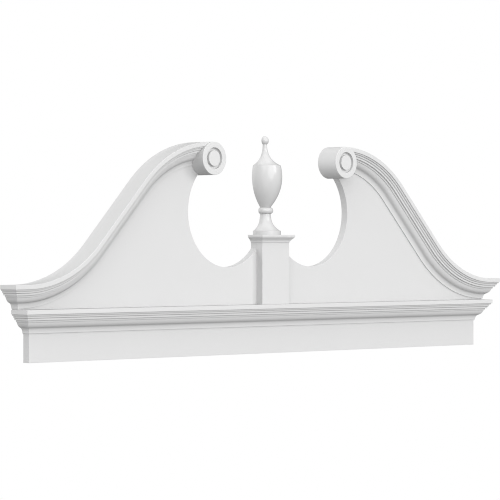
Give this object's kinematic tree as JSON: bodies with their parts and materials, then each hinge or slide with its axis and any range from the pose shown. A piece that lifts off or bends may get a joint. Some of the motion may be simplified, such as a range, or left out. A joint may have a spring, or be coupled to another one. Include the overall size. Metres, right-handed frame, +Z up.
{
  "type": "swan's-neck pediment",
  "caption": "Flat-backed broken-scroll pediment with swan-neck mouldings, scroll drums, a central pedestal and a half-round urn, fixed over a door or window.",
  "frame": {"origin": "on the wall plane, at the middle of the back of the frieze board", "axes": "+X along the wall to the right as seen from the front, +Y into the wall, +Z up; the front faces -Y"},
  "size_m": [1.6576, 0.0589, 0.5182],
  "materials": {
    "board": "smooth white expanded sheet, satin matte",
    "moulding": "white moulded trim, satin",
    "turned": "white cast turned ornament, soft satin sheen"
  },
  "bodies": {
    "root": {"frieze_board": "board", "cornice_moulding": "moulding", "tympanum_board": "board", "pedestal_block": "board", "pedestal_cap": "moulding", "urn_finial": "turned", "left_raking_moulding": "moulding", "right_raking_moulding": "moulding", "left_scroll_drum": "turned", "right_scroll_drum": "turned"}
  },
  "joints": []
}
